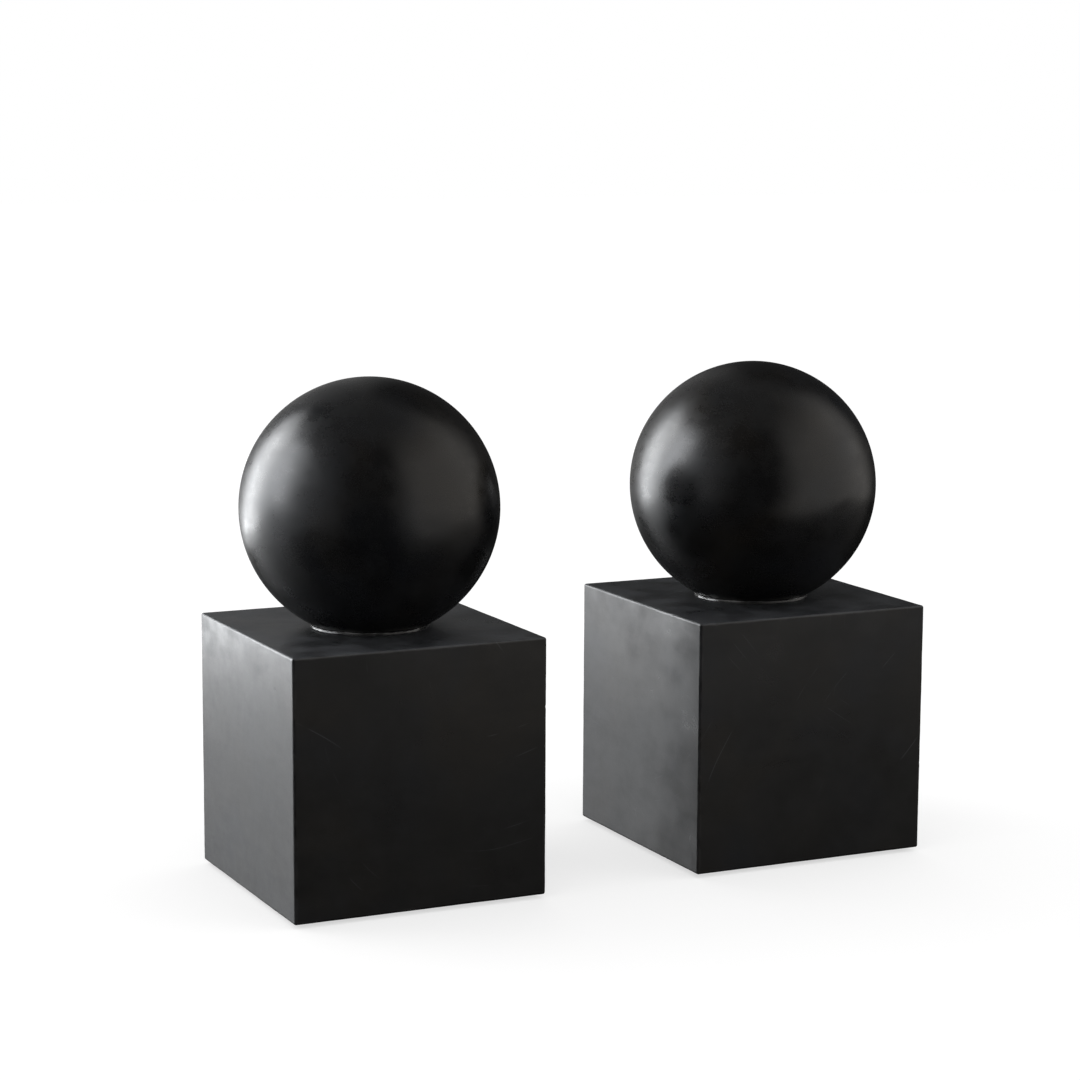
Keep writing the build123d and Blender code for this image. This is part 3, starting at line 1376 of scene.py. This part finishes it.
@dataclass(frozen=True)
class Studio:
    """The plain pale floor, the soft lamps, a tent and a dark table that gloss shows, whose dark colour is
    painted shade, and the camera.
    """

    floor_size: float = 12.0
    floor_colour: float = 0.50
    floor_lift: float = 0.62
    room_light: float = 0.80
    tent_radius: float = 2.6
    tent_base: float = 0.035
    eye_height: float = 90 * MM
    table_place: tuple[float, float, float] = (0.0, 0.04, 0.2 * MM)
    table_size: tuple[float, float] = (1.7, 0.84)
    # The table's dark colour is painted shade in the book ends' reflections.
    table_shade_colour: float = 0.01
    table_roughness: float = 0.30
    table_specular: float = 0.40
    lens: float = 95.46
    sensor_width: float = 36.0
    nearest: float = 10 * MM
    camera_place: tuple[float, float, float] = (-0.4480, -0.9170, 0.2772)
    heading: float = 25.495
    tilt_down: float = 8.882
    roll: float = 0.296

    LAMPS = (
        Softbox("window", bearing=-50.0, low=0.02, high=1.1, width=1.1, glow=2.2),
        Softbox("fill", bearing=125.0, low=0.1, high=1.3, width=1.1, glow=0.5),
    )
    GLOWS = (
        Glow(bearing=-67.0, half_width=14.0, edge=9.0, top=41.0, top_edge=7.0, strength=8.4,
             colour=(0.97, 0.995, 1.035), bottom=2.0, bottom_edge=8.0),
        Glow(bearing=-36.0, half_width=14.0, edge=8.0, top=38.0, top_edge=8.0, strength=10.4,
             colour=(0.98, 1.0, 1.02)),
        Glow(bearing=-78.0, half_width=36.0, edge=26.0, top=46.0, top_edge=24.0, strength=0.9,
             colour=(0.97, 0.995, 1.035)),
        Glow(bearing=125.0, half_width=47.0, edge=14.0, top=56.0, top_edge=20.0, strength=0.88,
             colour=(1.04, 1.0, 0.95)),
        Glow(bearing=2.0, half_width=20.0, edge=7.0, top=60.0, top_edge=20.0, strength=0.22),
    )
    # The ceiling's glow, and the heights in degrees between which it fades in.
    CEILING_GLOW = 0.22
    CEILING_EDGES = (48.0, 76.0)

    def set_up(self) -> None:
        """Builds the floor, tent, table, lamps, room light and camera."""
        self.lay_floor()
        self.pitch_tent()
        self.set_table()
        for lamp in self.LAMPS:
            lamp.hang()
        self.light_room()
        self.place_camera()
        bpy.context.scene.view_settings.view_transform = "Standard"

    def seen_directly(self, sheet: NodeSheet) -> NodeSocket:
        """1 where the camera sees a surface itself, in gloss or through glass, and 0 for its soft light."""
        path = sheet.add("ShaderNodeLightPath").outputs
        mirrored = sheet.math("MAXIMUM", path["Is Glossy Ray"], path["Is Transmission Ray"])
        return sheet.math("MAXIMUM", path["Is Camera Ray"], mirrored)

    def lay_floor(self) -> None:
        """Lays a pale floor that looks white where it is lit and keeps the book ends' shadow."""
        model = bmesh.new()
        bmesh.ops.create_grid(model, x_segments=1, y_segments=1, size=self.floor_size / 2)
        floor, sheet = self.stage_piece("floor", model)
        pale = sheet.add("ShaderNodeBsdfDiffuse", None, Color=rgba((self.floor_colour,) * 3))
        strength = sheet.math("MULTIPLY", self.seen_directly(sheet), self.floor_lift)
        lift = sheet.add("ShaderNodeEmission", None, Strength=strength)
        both = sheet.add("ShaderNodeAddShader", None, i0=pale.outputs[0], i1=lift.outputs[0])
        sheet.add("ShaderNodeOutputMaterial", None, Surface=both.outputs[0])

    def pitch_tent(self) -> None:
        """Pitches a tent with soft glows on it. Its lower half lies flat just above the floor."""
        model = bmesh.new()
        bmesh.ops.create_uvsphere(model, u_segments=64, v_segments=32, radius=self.tent_radius)
        for vertex in model.verts:
            vertex.co.z = max(vertex.co.z, self.table_place[2] / 2)
        tent, sheet = self.stage_piece("tent", model)
        self.show_in_gloss_only(tent)
        place = sheet.object_place()
        x, y, z = sheet.parts(place)
        bearing = sheet.math("DEGREES", sheet.math("ARCTAN2", x, y))
        squares = [sheet.math("MULTIPLY", part, part) for part in (x, y)]
        across = sheet.math("SQRT", sheet.math("ADD", *squares))
        rise = sheet.math("ARCTAN2", sheet.math("SUBTRACT", z, self.eye_height), across)
        elevation = sheet.math("DEGREES", rise)
        total = sheet.ramp(elevation, *self.CEILING_EDGES, self.tent_base, self.CEILING_GLOW)
        for glow in self.GLOWS:
            total = sheet.vector("ADD", total, glow.wire(sheet, bearing, elevation))
        light = sheet.add("ShaderNodeEmission", None, Color=total)
        sheet.add("ShaderNodeOutputMaterial", None, Surface=light.outputs[0])

    def set_table(self) -> None:
        """Sets a dark satin table top round the book ends, a hair above the floor: painted shade that only
        gloss shows.
        """
        model = bmesh.new()
        place = Matrix.Translation(self.table_place) @ Matrix.Diagonal((*self.table_size, 1.0, 1.0))
        bmesh.ops.create_grid(model, x_segments=1, y_segments=1, size=0.5, matrix=place)
        table, sheet = self.stage_piece("dark_table", model)
        self.show_in_gloss_only(table)
        satin = sheet.principled(rgba((self.table_shade_colour,) * 3), self.table_roughness,
                                 Specular_IOR_Level=self.table_specular)
        sheet.add("ShaderNodeOutputMaterial", None, Surface=satin.outputs[0])

    def stage_piece(self, name: str, model: BMesh) -> tuple[Object, NodeSheet]:
        """Makes one thing of the studio's own, which isn't part of the object.

        Args:
            name: its name.
            model: its shape, which is used up.

        Returns:
            The thing, and the sheet of its material, still empty.
        """
        thing = model_object(name, model)
        material = bpy.data.materials.new(name)
        thing.data.materials.append(material)
        return thing, blank_sheet(material)

    def show_in_gloss_only(self, thing: Object) -> None:
        """Hides a thing of the studio from all but glossy reflections."""
        thing.visible_camera = False
        thing.visible_diffuse = False
        thing.visible_shadow = False
        thing.visible_transmission = False

    def light_room(self) -> None:
        """Fills the room with soft light, with a white background behind everything."""
        world = bpy.data.worlds.new("room")
        bpy.context.scene.world = world
        sheet = blank_sheet(world)
        strength = sheet.ramp(self.seen_directly(sheet), 0.0, 1.0, self.room_light, 1.0, smooth=False)
        light = sheet.add("ShaderNodeBackground", None, Color=(1.0, 1.0, 1.0, 1.0), Strength=strength)
        sheet.add("ShaderNodeOutputWorld", None, Surface=light.outputs[0])

    def place_camera(self) -> None:
        """Stands the camera in front of the left book end, a little above it, looking down the row."""
        heading = math.radians(self.heading)
        tilt = math.radians(self.tilt_down)
        roll = math.radians(self.roll)
        forward = Vector((
            math.sin(heading) * math.cos(tilt),
            math.cos(heading) * math.cos(tilt),
            -math.sin(tilt),
        ))
        level = Vector((math.cos(heading), -math.sin(heading), 0.0))
        upright = level.cross(forward)
        right = math.cos(roll) * level + math.sin(roll) * upright
        up = math.cos(roll) * upright - math.sin(roll) * level
        camera = bpy.data.objects.new("camera", bpy.data.cameras.new("camera"))
        camera.data.lens = self.lens
        camera.data.sensor_width = self.sensor_width
        camera.data.clip_start = self.nearest
        turn = Matrix((right, up, -forward)).transposed().to_4x4()
        camera.matrix_world = Matrix.Translation(self.camera_place) @ turn
        bpy.context.scene.collection.objects.link(camera)
        bpy.context.scene.camera = camera


def main() -> None:
    """Builds both book ends and the studio."""
    logging.basicConfig(level=logging.INFO, format="%(name)s: %(message)s")
    for side in Side:
        for sub_assembly in (Block, Ball, Seat, Feet):
            sub_assembly(side).make()
    Studio().set_up()


if __name__ == "__main__":
    main()
